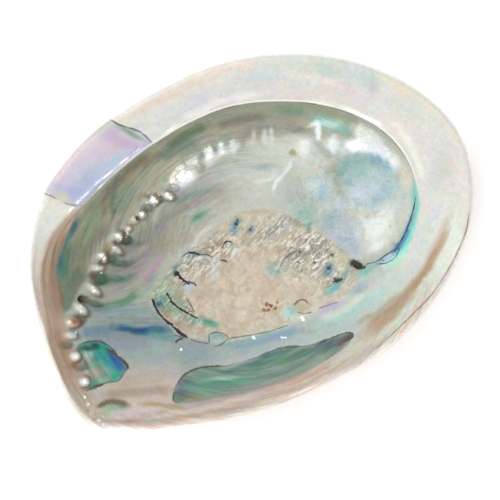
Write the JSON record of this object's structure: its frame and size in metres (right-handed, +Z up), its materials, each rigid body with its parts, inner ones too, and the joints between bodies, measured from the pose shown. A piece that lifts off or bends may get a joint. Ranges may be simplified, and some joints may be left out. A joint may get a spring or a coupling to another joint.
{
  "type": "abalone shell",
  "caption": "Polished abalone shell, an ear-shaped nacre bowl with a wide flat shelf along one side and a low coiled spire, lying on its back.",
  "frame": {"origin": "on the resting plane, under the middle of the outline", "axes": "+X along the length, towards the spire end; +Y across, towards the side with the flat shelf; +Z up, out of the opening"},
  "size_m": [0.1738, 0.1258, 0.05],
  "materials": {
    "nacre": null
  },
  "bodies": {
    "root": {"shell": "nacre"}
  },
  "joints": []
}
